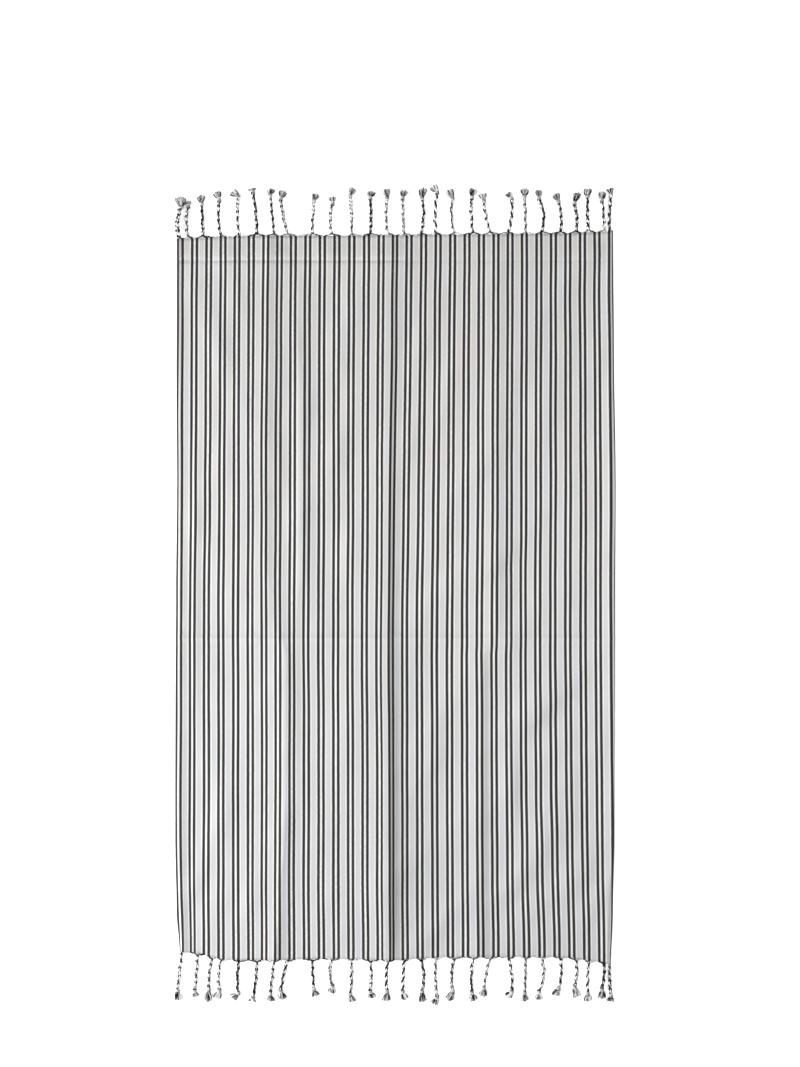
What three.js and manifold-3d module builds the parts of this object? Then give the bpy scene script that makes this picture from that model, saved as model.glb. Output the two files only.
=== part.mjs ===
// A fouta, the flat-woven striped towel of the hammam, laid out on the floor, in millimetres.
// +Y runs along the towel to its head end, +X across it to the right and +Z up.
// The origin lies on the floor under the middle of the towel, fringes counted in.
import * as THREE from 'three';
import { mergeVertices } from 'three/addons/utils/BufferGeometryUtils.js';
import Module from 'manifold-3d';

// Cloth
const WALL = 1.2;
const HALF_LENGTH = 796;
const END_REACH = 120; // how far in from an end its bend still shifts the rows
const ROW_PITCH = 100;
const FLANK_STEPS = [0.35, 1]; // where a fold's flank has its columns, crest to foot
const CREASE_STEPS = [-1, -0.45, 0, 0.45, 1];

// Fringe
const SEAM = 0.3; // gap between the cloth's end and the strip that carries the tassels
const STRIP = 5;
const STRIP_WALL = 1.6;
const LIFT = 0.3; // clearance of the tassels above the floor
const CORD = 6.2; // wide side of the twisted cord's section
const CORD_FLAT = 4.2;
const CORD_STEPS = 5;
const CORD_TWIST = 75; // degrees from one step to the next
const ROOT = 17; // width over which the yarns of one tassel leave the cloth
const ROOT_FLAT = 1.1;
const ROOT_RUN = 13; // from the cloth's edge to where the yarns have met
const KNOT = 10;
const KNOT_FLAT = 8;
const NECK = 6;
const LOCK = 4.6;
const LOCKS = [-1, 0, 1];
const LOCK_SPREAD = 3.6;

// The two selvedges: x of the left and right one at stations along the towel
const SELVEDGES = [
  { y: 800, left: -482, right: 479 },
  { y: 540, left: -482, right: 481 },
  { y: 240, left: -480, right: 485 },
  { y: 0, left: -482, right: 484 },
  { y: -300, left: -484, right: 484 },
  { y: -530, left: -484, right: 483 },
  { y: -690, left: -481, right: 479 },
  { y: -805, left: -474, right: 474 },
];

// The two ends: y of the head and foot end at stations across the towel
const ENDS = [
  { x: -484, head: 784, foot: -783 },
  { x: -436, head: 786, foot: -788 },
  { x: -400, head: 788, foot: -797 },
  { x: -370, head: 789, foot: -803 },
  { x: -297, head: 791, foot: -803 },
  { x: -143, head: 791, foot: -800 },
  { x: 0, head: 792, foot: -803 },
  { x: 110, head: 794, foot: -797 },
  { x: 360, head: 796, foot: -797 },
  { x: 450, head: 799, foot: -807 },
  { x: 484, head: 802, foot: -817 },
];

// The folds that run along the towel, from left to right, each at stations from head to foot:
// x of the crest, its height, and how far the flank reaches down to the left and to the right.
// flat is the number of columns on the level cloth to the fold's right.
const FOLDS = [
  {
    name: 'rolled left selvedge',
    flat: 1,
    stations: [
      { y: 800, x: -475, high: 2.5, left: 7, right: 12 },
      { y: 0, x: -475, high: 3, left: 7, right: 14 },
      { y: -500, x: -477, high: 5, left: 7, right: 20 },
      { y: -800, x: -467, high: 5.5, left: 7, right: 22 },
    ],
  },
  {
    name: 'left wave',
    flat: 3,
    stations: [
      { y: 800, x: -442, high: 0, left: 14, right: 22 },
      { y: 390, x: -440, high: 0, left: 14, right: 22 },
      { y: 240, x: -440, high: 3, left: 16, right: 22 },
      { y: -130, x: -440, high: 3, left: 16, right: 22 },
      { y: -280, x: -440, high: 0, left: 14, right: 22 },
      { y: -800, x: -434, high: 0, left: 8, right: 22 },
    ],
  },
  {
    name: 'quarter fold',
    flat: 1,
    stations: [
      { y: 800, x: -280, high: 4, left: 31, right: 26 },
      { y: 260, x: -290, high: 4, left: 31, right: 26 },
      { y: 77, x: -292, high: 0, left: 31, right: 26 },
      { y: -40, x: -280, high: 0, left: 22, right: 40 },
      { y: -140, x: -264, high: 7.5, left: 20, right: 53 },
      { y: -800, x: -264, high: 8, left: 20, right: 53 },
    ],
  },
  {
    name: 'second quarter fold',
    flat: 4,
    stations: [
      { y: 800, x: -231, high: 0, left: 20, right: 40 },
      { y: 650, x: -229, high: 0, left: 20, right: 40 },
      { y: 540, x: -229, high: 5, left: 22, right: 44 },
      { y: 20, x: -231, high: 5, left: 22, right: 44 },
      { y: -95, x: -231, high: 0, left: 20, right: 40 },
      { y: -800, x: -225, high: 0, left: 20, right: 40 },
    ],
  },
  {
    name: 'centre fold',
    flat: 4,
    stations: [
      { y: 800, x: -16, high: 9, left: 16, right: 22 },
      { y: 363, x: -19, high: 9, left: 16, right: 22 },
      { y: -121, x: -22, high: 10, left: 16, right: 22 },
      { y: -500, x: -21, high: 12, left: 16, right: 24 },
      { y: -800, x: -20, high: 11, left: 16, right: 22 },
    ],
  },
  {
    name: 'three-quarter fold',
    flat: 5,
    stations: [
      { y: 800, x: 222, high: 6, left: 31, right: 35 },
      { y: 60, x: 222, high: 6, left: 31, right: 35 },
      { y: -60, x: 210, high: 3, left: 28, right: 33 },
      { y: -150, x: 188, high: 5, left: 26, right: 31 },
      { y: -800, x: 187, high: 5, left: 26, right: 31 },
    ],
  },
  {
    name: 'rolled right selvedge',
    flat: 0,
    stations: [
      { y: 800, x: 471, high: 4, left: 24, right: 8 },
      { y: 240, x: 476, high: 6, left: 26, right: 8 },
      { y: -530, x: 475, high: 6, left: 26, right: 8 },
      { y: -800, x: 466, high: 5, left: 22, right: 8 },
    ],
  },
];

// The creases that run across the towel, with where each ends and fades out
const CREASES = [
  { name: 'middle crease', y: -95, high: 2.3, run: 12, from: -484, to: 484, fade: 1 },
  { name: 'head crease', y: 735, high: 2, run: 12, from: -484, to: -25, fade: 60 },
];

// The tassels of the head end from left to right: where the yarns leave the cloth, how far the
// cord bows and leans sideways on its way to the knot, how far the tuft turns sideways after
// it, and how far the knot and the tip lie from the towel's middle
const TASSELS = [
  { at: -474, bow: -2, lean: 1, knot: 858, turn: -1, tip: 872 },
  { at: -455, bow: -4, lean: 0, knot: 854, turn: -3, tip: 865 },
  { at: -423, bow: 1, lean: -3, knot: 860, turn: -1, tip: 878 },
  { at: -383, bow: -4, lean: -4, knot: 868, turn: -6, tip: 887 },
  { at: -343, bow: -3, lean: -2, knot: 875, turn: -14, tip: 887 },
  { at: -304, bow: 2, lean: -9, knot: 886, turn: -2, tip: 894 },
  { at: -266, bow: 0, lean: -9, knot: 878, turn: 2, tip: 893 },
  { at: -237, bow: -1, lean: -15, knot: 870, turn: 6, tip: 888 },
  { at: -182, bow: -1, lean: 3, knot: 867, turn: 5, tip: 882 },
  { at: -140, bow: -4, lean: 2, knot: 860, turn: -2, tip: 875 },
  { at: -97, bow: 2, lean: -2, knot: 877, turn: 6, tip: 894 },
  { at: -55, bow: 2, lean: 0, knot: 871, turn: 4, tip: 887 },
  { at: -16, bow: -3, lean: -2, knot: 871, turn: -2, tip: 893 },
  { at: 19, bow: 0, lean: -3, knot: 871, turn: 5, tip: 889 },
  { at: 56, bow: 5, lean: 3, knot: 871, turn: 2, tip: 894 },
  { at: 90, bow: -3, lean: 2, knot: 884, turn: -8, tip: 899 },
  { at: 130, bow: -4, lean: -4, knot: 870, turn: -8, tip: 891 },
  { at: 171, bow: -2, lean: -3, knot: 872, turn: 5, tip: 892 },
  { at: 209, bow: -2, lean: -14, knot: 865, turn: -3, tip: 882 },
  { at: 248, bow: 4, lean: 8, knot: 871, turn: -9, tip: 884 },
  { at: 286, bow: 1, lean: -2, knot: 875, turn: 1, tip: 893 },
  { at: 321, bow: 8, lean: -5, knot: 871, turn: -1, tip: 890 },
  { at: 363, bow: 4, lean: -4, knot: 864, turn: -7, tip: 881 },
  { at: 397, bow: 4, lean: -3, knot: 860, turn: 7, tip: 884 },
  { at: 425, bow: -1, lean: -2, knot: 876, turn: 1, tip: 893 },
  { at: 459, bow: 2, lean: -5, knot: 866, turn: 1, tip: 887 },
  { at: 471, bow: -1, lean: 3, knot: 880, turn: -3, tip: 894 },
];

// The foot end mirrors the head end, but for its first tassels
const FOOT_FIRST = [
  { at: -470, bow: 0, lean: -8, knot: 869, turn: 3, tip: 890 },
  { at: -435, bow: 1, lean: -6, knot: 869, turn: 2, tip: 883 },
  { at: -402, bow: -3, lean: -8, knot: 867, turn: -3, tip: 893 },
];
const FOOT_TASSELS = FOOT_FIRST.concat(TASSELS.slice(FOOT_FIRST.length));

// A smooth line through one column of a table, whose rows are sorted by the column "by"
function along(rows, by, at, column) {
  const rising = rows[0][by] < rows[rows.length - 1][by];
  const sorted = rising ? rows : [...rows].reverse();
  const last = sorted.length - 1;
  if (at <= sorted[0][by]) return sorted[0][column];
  if (at >= sorted[last][by]) return sorted[last][column];
  const next = sorted.findIndex((row) => row[by] > at);
  const [a, b] = [sorted[next - 1], sorted[next]];
  const share = (at - a[by]) / (b[by] - a[by]);
  return THREE.MathUtils.lerp(a[column], b[column], THREE.MathUtils.smoothstep(share, 0, 1));
}

// One flank of a ridge: 1 at the crest, falling to 0 with a level foot
function flank(distance, reach) {
  return Math.max(0, 1 - distance / reach) ** 2;
}

function foldAt(fold, y) {
  const station = {};
  for (const column of ['x', 'high', 'left', 'right']) {
    station[column] = along(fold.stations, 'y', y, column);
  }
  return station;
}

// Height of the cloth's underside over the floor: level apart from its folds and creases
function heightAt(x, y) {
  let height = 0;
  for (const fold of FOLDS) {
    const { x: crest, high, left, right } = foldAt(fold, y);
    height += high * flank(Math.abs(x - crest), x < crest ? left : right);
  }
  for (const crease of CREASES) {
    const fade = 1 - THREE.MathUtils.smoothstep(x, crease.to, crease.to + crease.fade);
    height += crease.high * fade * flank(Math.abs(y - crease.y), crease.run);
  }
  return height;
}

// Where the columns of one row lie: on each crest, down its flanks and on the level between
function columnsAt(y) {
  const folds = FOLDS.map((fold) => ({ ...foldAt(fold, y), flat: fold.flat }));
  const left = along(SELVEDGES, 'y', y, 'left');
  const right = along(SELVEDGES, 'y', y, 'right');
  const columns = [];
  const first = folds[0];
  for (const step of [...FLANK_STEPS].reverse()) columns.push(first.x + (left - first.x) * step);
  for (let i = 0; i < folds.length - 1; i += 1) {
    const [a, b] = [folds[i], folds[i + 1]];
    const room = 0.45 * (b.x - a.x);
    const [down, up] = [Math.min(a.right, room), Math.min(b.left, room)];
    columns.push(a.x);
    for (const step of FLANK_STEPS) columns.push(a.x + down * step);
    const level = b.x - up - (a.x + down);
    for (let j = 1; j <= a.flat; j += 1) columns.push(a.x + down + (level * j) / (a.flat + 1));
    for (const step of [...FLANK_STEPS].reverse()) columns.push(b.x - up * step);
  }
  const last = folds[folds.length - 1];
  columns.push(last.x);
  for (const step of FLANK_STEPS) columns.push(last.x + (right - last.x) * step);
  return columns;
}

// Where the rows lie: evenly along the towel, and close together over each cross crease
function rowStations() {
  const count = Math.round((2 * HALF_LENGTH) / ROW_PITCH);
  const rows = [];
  for (let i = 0; i <= count; i += 1) {
    const y = -HALF_LENGTH + (2 * HALF_LENGTH * i) / count;
    if (CREASES.every((crease) => Math.abs(y - crease.y) > 2.5 * crease.run)) rows.push(y);
  }
  for (const crease of CREASES) {
    for (const step of CREASE_STEPS) rows.push(crease.y + crease.run * step);
  }
  return rows.sort((a, b) => a - b);
}

// y of the end that is nearer to the row y
function endAt(x, y) {
  return along(ENDS, 'x', x, y > 0 ? 'head' : 'foot');
}

// A row's own y at x: near an end the rows bend with it
function bentRow(y, x) {
  const bend = endAt(x, y) - Math.sign(y) * HALF_LENGTH;
  const inside = HALF_LENGTH - Math.abs(y);
  return y + bend * (1 - THREE.MathUtils.smoothstep(inside, 0, END_REACH));
}

// The direction in which the wall's outer face lies from its underside
function outward(x, y, level) {
  const step = 0.05;
  const acrossSlope = (heightAt(x + step, y) - heightAt(x - step, y)) / (2 * step);
  const alongSlope = level ? 0 : (heightAt(x, y + step) - heightAt(x, y - step)) / (2 * step);
  return new THREE.Vector3(-acrossSlope, -alongSlope, 1).normalize();
}

// A closed wall between a sheet of underside points and its outer points, rows of columns
function wall(rows, thickness, level) {
  const positions = [];
  const indices = [];
  const [height, width] = [rows.length, rows[0].length];
  for (const row of rows) {
    for (const [x, y, z] of row) positions.push(x, y, z);
  }
  for (const [index, row] of rows.entries()) {
    const atEnd = level || index === 0 || index === height - 1;
    for (const [x, y, z] of row) {
      const out = outward(x, y, atEnd).multiplyScalar(thickness);
      const slide = atEnd ? endAt(x + out.x, y) - endAt(x, y) : out.y;
      positions.push(x + out.x, y + slide, z + out.z);
    }
  }
  const under = (i, j) => i * width + j;
  const over = (i, j) => height * width + i * width + j;
  const quad = (a, b, c, d) => indices.push(a, b, c, a, c, d);
  for (let i = 0; i < height - 1; i += 1) {
    for (let j = 0; j < width - 1; j += 1) {
      quad(over(i, j), over(i, j + 1), over(i + 1, j + 1), over(i + 1, j));
      quad(under(i, j), under(i + 1, j), under(i + 1, j + 1), under(i, j + 1));
    }
    quad(under(i, 0), over(i, 0), over(i + 1, 0), under(i + 1, 0));
    quad(under(i, width - 1), under(i + 1, width - 1), over(i + 1, width - 1), over(i, width - 1));
  }
  for (let j = 0; j < width - 1; j += 1) {
    quad(under(0, j), under(0, j + 1), over(0, j + 1), over(0, j));
    const end = height - 1;
    quad(under(end, j), over(end, j), over(end, j + 1), under(end, j + 1));
  }
  return closed(positions, indices);
}

function closed(positions, indices) {
  const geometry = new THREE.BufferGeometry();
  geometry.setAttribute('position', new THREE.Float32BufferAttribute(positions, 3));
  geometry.setIndex(indices);
  return geometry;
}

function clothGeometry() {
  const rows = rowStations().map((y) => columnsAt(y).map((x) => {
    const bent = bentRow(y, x);
    return [x, bent, heightAt(x, bent)];
  }));
  return wall(rows, WALL, false);
}

// The narrow strip of last picks that carries the tassels; side is 1 at the head, -1 at the foot
function stripGeometry(side) {
  const columns = columnsAt(side * HALF_LENGTH);
  const rows = [SEAM, SEAM + STRIP].map((out) => columns.map((x) => {
    const edge = bentRow(side * HALF_LENGTH, x);
    return [x, edge + side * out, heightAt(x, edge)];
  }));
  if (side < 0) rows.reverse();
  return wall(rows, STRIP_WALL, true);
}

// A closed tube through rings; a ring has its middle, its two sizes, its turn in degrees and
// its skew, the slope at which it runs across the towel
function tube(rings, sides, side) {
  const positions = [];
  const indices = [];
  for (const ring of rings) {
    const turn = THREE.MathUtils.degToRad(ring.turn);
    for (let k = 0; k < sides; k += 1) {
      const angle = (2 * Math.PI * (k + 0.5)) / sides;
      const reach = 1 / Math.cos(Math.PI / sides);
      const flatX = 0.5 * ring.wide * reach * Math.cos(angle);
      const flatZ = 0.5 * ring.thick * reach * Math.sin(angle);
      const x = flatX * Math.cos(turn) - flatZ * Math.sin(turn);
      const z = flatX * Math.sin(turn) + flatZ * Math.cos(turn);
      positions.push(ring.x + x, ring.y + ring.skew * x, Math.max(LIFT, ring.z + z));
    }
  }
  const at = (i, k) => i * sides + (k % sides);
  for (let i = 0; i < rings.length - 1; i += 1) {
    for (let k = 0; k < sides; k += 1) {
      indices.push(at(i, k), at(i, k + 1), at(i + 1, k + 1), at(i, k), at(i + 1, k + 1), at(i + 1, k));
    }
  }
  const end = rings.length - 1;
  for (let k = 1; k < sides - 1; k += 1) {
    indices.push(at(0, 0), at(0, k + 1), at(0, k));
    indices.push(at(end, 0), at(end, k), at(end, k + 1));
  }
  if (side > 0) indices.reverse();
  return closed(positions, indices);
}

// The cord from the strip to its knot: a flat fan of yarns that meet and twist, then the knot
function cordGeometry(tassel, side) {
  const edge = bentRow(side * HALF_LENGTH, tassel.at);
  const rise = heightAt(tassel.at, edge);
  const slope = heightAt(tassel.at + 4, edge) - heightAt(tassel.at - 4, edge);
  const tilt = THREE.MathUtils.radToDeg(Math.atan2(slope, 8));
  const narrow = 1 + 0.25 * rise;
  const cordZ = LIFT + CORD / 2 + 0.3;
  const knotZ = LIFT + KNOT_FLAT / 2 + 0.4;
  const cord = tassel.knot - Math.abs(edge);
  const place = (out, z, wide, thick, turn) => {
    const share = THREE.MathUtils.clamp(out / cord, 0, 1);
    const x = tassel.at + tassel.lean * share + tassel.bow * 4 * share * (1 - share);
    return { x, y: edge + side * out, z, wide, thick, turn, skew: 0 };
  };
  const root = place(SEAM + 2, rise + STRIP_WALL / 2, ROOT / narrow, ROOT_FLAT, tilt);
  root.skew = (endAt(tassel.at + ROOT / 2, edge) - endAt(tassel.at - ROOT / 2, edge)) / ROOT;
  const rings = [root];
  const twistEnd = cord - 6;
  for (let i = 0; i <= CORD_STEPS; i += 1) {
    const share = i / CORD_STEPS;
    const out = ROOT_RUN + (twistEnd - ROOT_RUN) * share;
    const fall = (1 - share) ** 3 * Math.max(0, rise - 1);
    rings.push(place(out, cordZ + fall, CORD, CORD_FLAT, i * CORD_TWIST));
  }
  const settle = Math.round((CORD_STEPS * CORD_TWIST) / 90) * 90;
  rings.push(place(cord - 2, knotZ, KNOT, KNOT_FLAT, settle));
  rings.push(place(cord + 3, knotZ, KNOT, KNOT_FLAT, settle));
  rings.push(place(cord + NECK, knotZ - 0.6, LOCK, LOCK, settle));
  return tube(rings, 4, side);
}

// One lock of the frayed tuft below the knot, fanned out to its own side
function lockGeometry(tassel, side, hand) {
  const x = tassel.at + tassel.lean;
  const end = tassel.tip - 0.12 * (tassel.tip - tassel.knot) * Math.abs(hand);
  const root = { x: x + 0.8 * hand, y: side * (tassel.knot + 1), z: LIFT + 3.8 };
  const tip = { x: x + tassel.turn + LOCK_SPREAD * hand, y: side * end, z: LIFT + 1.5 };
  const section = { wide: LOCK, thick: 2.4, turn: 0, skew: 0 };
  return tube([{ ...root, ...section, wide: LOCK / 2 }, { ...tip, ...section }], 3, side);
}

const wasm = await Module();
wasm.setup();

function solid(geometry) {
  const bare = geometry.clone();
  bare.deleteAttribute('normal');
  bare.deleteAttribute('uv');
  const merged = mergeVertices(bare, 1e-5);
  return new wasm.Manifold(new wasm.Mesh({
    numProp: 3,
    vertProperties: new Float32Array(merged.attributes.position.array),
    triVerts: new Uint32Array(merged.index.array),
  }));
}

function shape(body) {
  const mesh = body.getMesh();
  return closed([...mesh.vertProperties], [...mesh.triVerts]);
}

function fringeGeometry(side, tassels) {
  let body = solid(stripGeometry(side));
  for (const tassel of tassels) {
    let piece = solid(cordGeometry(tassel, side));
    for (const hand of LOCKS) piece = piece.add(solid(lockGeometry(tassel, side, hand)));
    body = body.add(piece);
  }
  return shape(body);
}

const clothColour = new THREE.MeshStandardMaterial({ color: 0xd9d8d4, roughness: 0.95, metalness: 0 });
const yarnColour = new THREE.MeshStandardMaterial({ color: 0x77757a, roughness: 0.95, metalness: 0 });

const towel = new THREE.Group();
towel.name = 'fouta_towel';

function add(name, geometry, material) {
  const mesh = new THREE.Mesh(geometry, material);
  mesh.name = name;
  towel.add(mesh);
}

add('cloth', clothGeometry(), clothColour);
add('fringe_head', fringeGeometry(1, TASSELS), yarnColour);
add('fringe_foot', fringeGeometry(-1, FOOT_TASSELS), yarnColour);

export default towel;
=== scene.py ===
"""A fouta, the flat-woven striped towel of the hammam, laid out flat, seen from straight above."""

import math

import bpy
import numpy as np
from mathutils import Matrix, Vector


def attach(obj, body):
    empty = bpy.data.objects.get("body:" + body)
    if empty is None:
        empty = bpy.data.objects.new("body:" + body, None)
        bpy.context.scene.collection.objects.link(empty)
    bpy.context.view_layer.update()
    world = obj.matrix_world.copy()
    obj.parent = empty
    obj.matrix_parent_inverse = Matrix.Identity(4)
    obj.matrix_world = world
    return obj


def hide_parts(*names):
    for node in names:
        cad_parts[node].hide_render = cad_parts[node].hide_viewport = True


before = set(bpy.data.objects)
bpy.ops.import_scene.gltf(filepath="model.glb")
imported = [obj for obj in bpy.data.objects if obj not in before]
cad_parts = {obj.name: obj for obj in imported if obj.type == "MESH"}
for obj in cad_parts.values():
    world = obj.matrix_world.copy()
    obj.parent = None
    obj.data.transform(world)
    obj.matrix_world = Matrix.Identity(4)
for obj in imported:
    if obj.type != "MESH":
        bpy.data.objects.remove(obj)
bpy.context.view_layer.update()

MM = 0.001


def table(columns, rows):
    """Rows of plain values, each as a dict by the names of the columns."""
    return [dict(zip(columns.split(), row)) for row in rows]


# The photograph: its middle, and the size of the floor that its long side covers
PHOTO_MIDDLE = (10.6 * MM, 135.3 * MM)
PHOTO_LONG_SIDE = 2347.4 * MM
LENS = 85.0
SENSOR = 36.0

# Cloth, in millimetres
WALL = 1.2
HALF_LENGTH = 796.0
END_REACH = 120.0
ROW_PITCH = 9.0
SLOPE_STEP = 0.3

# Flanks of the folds: the rounding of a crest, the columns down a flank, and the share of the way
# to the next crest that one may take; a flank of more than LONG_FLANK falls more evenly
CREST_ROUND = 1.6
FLANK_STEPS = (0.08, 0.18, 0.31, 0.48, 0.7, 1.0)
FLANK_ROOM = 0.45
LONG_FLANK = 60.0
LONG_FLANK_RANGE = 60.0
LONG_FLANK_EASE = 0.8

# Rows of mesh at a crease: how far they reach, and as shares of that where they lie and how far
# off the other rows stay
CREASE_RUN = 12.0
CREASE_STEPS = (-1.0, -0.6, -0.3, -0.1, 0.0, 0.1, 0.3, 0.6, 1.0)
CREASE_ROOM = 1.2

# Stripes across the cut cloth, in millimetres from a pair's middle
PAIR_PITCH = 32.8
FIRST_PAIR = 8.2
DARK_FROM = 2.25
DARK_TO = 8.6
CREAM_TO = 11.4
WEAVE = 1.1

# Where a yarn leaves the cloth for its tassel, in millimetres; the shares are of its way sideways,
# and place the two middle points of its curve
ROOT_RUN = 3.6
ROOT_INSET = 1.5
ROOT_LOW = 1.4
ROOT_TWIST = 0.8
ROOT_PITCH = 7.0
ROOT_LEAVES = {"share": 0.1, "rise": 0.8}
ROOT_ARRIVES = {"share": 0.15, "of_height": 0.8, "rise": 0.5}
ROOT_WIDTH = 1.3
ROOT_STEPS = 16

# Which yarns a tassel gathers: DARK_YARNS are at least the first and fewer than the second, and
# the next two are shares of the light yarns and of the cords. The grey yarns are partly the
# towel's grey warp and partly painted shade on the white yarns
GATHER_INSET = 0.7
GATHER_SPOTS = 60
DARK_YARNS = (4, 9)
GREY_AND_SHADE_YARNS = 0.25
MIXED_CORDS = 0.8
SELVEDGE_INSET = 1.5

# Cord of a tassel, in millimetres; the drifts are in radians a step
PLY_OFFSET = 1.95
PLY_RADIUS = 1.5
YARN = 0.9
YARN_SIDES = 5
YARNS_PER_PLY = 6
CORD_PITCH = 19.0
PLY_PITCH = 16.0
CORD_STEP = 1.5
CORD_DRIFT = 0.14
PLY_DRIFT = 0.2
WOBBLE = (0.3, 1.1)
WOBBLE_HALF_WAVES = 5
FALL_RUN = 30.0
FALL_FROM = 1.0
FLOOR_GAP = 0.1

# Knot of a tassel: how the cord swells in it and thins beyond it, and the yarns round it
KNOT_REACH = 2.5
KNOT_SWELL = 0.3
KNOT_SWELL_RUN = 2.5
KNOT_NECK = 0.35
WRAP_RADIUS = 4.2
WRAP_YARN = 0.95
WRAP_YARNS = 4
WRAP_TURNS = 1.6
WRAP_STEPS = 26
WRAP_SPACING = 1.5
WRAP_RUN = 3.2
WRAP_SLANT = 1.1
WRAP_CLOSE = 0.25

# Tuft of a tassel: fibres in locks that spread over its width. A fibre bulges, curls and ends at
# its tip, by shares of the tuft's length and flare, and at heights in millimetres
FIBRE = 0.46
FIBRE_FLAT = 0.8
FIBRE_SIDES = 3
FIBRE_STEPS = 7
FIBRE_STRAY = 0.6
FIBRES_PER_YARN = 7
GREY_FIBRES = 0.12
YARNS_PER_LOCK = 2
LOCK_REACHES = (0.96, 1.14)
LOCK_SPREAD = 0.95
LOCK_STRAY = 0.12
TUFT_WIDTH = 16.5
TUFT_ROUND = 0.1
TUFT_RAGGED = 0.1
BULGE = {"along": 0.25, "flare": 0.7, "rise": (0, 1.5)}
CURL = {"back": 0.35, "height": (1.5, 5)}
TIP_HEIGHT = (0.5, 4)

# The two selvedges at stations along the towel: x of the left and right one, and where each
# lies across the cut cloth; the right one is rolled under
SELVEDGES = table("y left right left_cut right_cut", [
    (800, -482, 479, -1.5, 1001),
    (540, -482, 481, -1, 1000),
    (240, -480, 485, -1, 997),
    (0, -482, 484, -1, 996.5),
    (-300, -484, 484, -1, 995.5),
    (-530, -484, 483, -0.6, 991.5),
    (-690, -481, 479, 0.4, 990),
    (-805, -474, 474, 2.5, 990.5),
])

# The two ends at stations across the towel: y of the head and foot end
ENDS = table("x head foot", [
    (-484, 784, -783),
    (-436, 786, -788),
    (-400, 788, -797),
    (-370, 789, -803),
    (-297, 791, -803),
    (-143, 791, -800),
    (0, 792, -803),
    (110, 794, -797),
    (360, 796, -797),
    (450, 799, -807),
    (484, 802, -817),
])

# The folds along the towel, from left to right, at stations from head to foot: x of the crest,
# its height, the reach of its two flanks, and where the crest lies across the cut cloth
FOLD_ROWS = {
    "rolled left selvedge": [
        (800, -475, 2.5, 7, 12, 7.5),
        (380, -475, 2.5, 8, 14, 7.6),
        (0, -475, 2.2, 8, 16, 7.6),
        (-500, -477, 2, 8, 20, 8.2),
        (-800, -467, 2.8, 7, 22, 14.5),
    ],
    "left wave": [
        (800, -442, 0, 14, 22, 42),
        (390, -440, 0, 14, 22, 44.5),
        (240, -440, 1.8, 16, 22, 45.5),
        (-130, -440, 1.8, 16, 22, 47.5),
        (-280, -440, 0, 14, 22, 48.5),
        (-800, -434, 0, 8, 22, 56),
    ],
    "quarter fold": [
        (800, -280, 1.5, 26, 30, 211),
        (560, -284, 0.5, 26, 36, 209),
        (260, -290, 0, 26, 50, 204),
        (77, -286, 0, 26, 60, 208),
        (-40, -270, 0, 22, 60, 224),
        (-140, -240, 0.5, 24, 32, 256),
        (-385, -241, 0.3, 24, 34, 255.5),
        (-520, -243, 0.5, 24, 34, 254),
        (-650, -253, 0.6, 24, 34, 244),
        (-800, -264, 1.6, 24, 34, 233),
    ],
    "second quarter fold": [
        (800, -231, 0, 20, 40, 265.5),
        (650, -222, 0, 20, 40, 275),
        (480, -208, 2.2, 36, 36, 289.5),
        (250, -206, 4, 38, 38, 291.6),
        (60, -206, 3.5, 38, 36, 291.6),
        (-60, -216, 0, 30, 40, 282),
        (-140, -220, 0, 20, 40, 278),
        (-800, -225, 0, 20, 40, 273.9),
    ],
    "centre fold": [
        (800, -8.6, 2.5, 200, 14, 492.6),
        (599, -9.6, 3, 220, 14, 493.3),
        (116, -13.6, 5, 240, 13, 494),
        (-132, -15, 6, 250, 13, 494.2),
        (-400, -13.8, 7, 250, 13, 494.2),
        (-700, -13, 7.5, 250, 13, 493.8),
        (-800, -13, 5, 200, 13, 493.4),
    ],
    "three-quarter fold": [
        (800, 220, 1.2, 80, 50, 730),
        (300, 222, 1.8, 90, 56, 732.4),
        (60, 222, 2.6, 90, 50, 732.4),
        (-60, 222, 2.4, 70, 46, 732.8),
        (-106, 214, 0.8, 50, 24, 725),
        (-135, 189, 1.8, 60, 22, 701),
        (-480, 187, 3, 80, 20, 697.8),
        (-800, 187, 2.6, 80, 22, 697),
    ],
    "rolled right selvedge": [
        (800, 471, 2.5, 30, 8, 990),
        (240, 476, 3, 40, 8, 989),
        (-230, 475, 3, 40, 8, 986),
        (-530, 475, 2.5, 40, 8, 984),
        (-800, 466, 1.5, 24, 8, 972),
    ],
}
FOLDS = {name: table("y x high left right cut", rows) for name, rows in FOLD_ROWS.items()}

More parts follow.
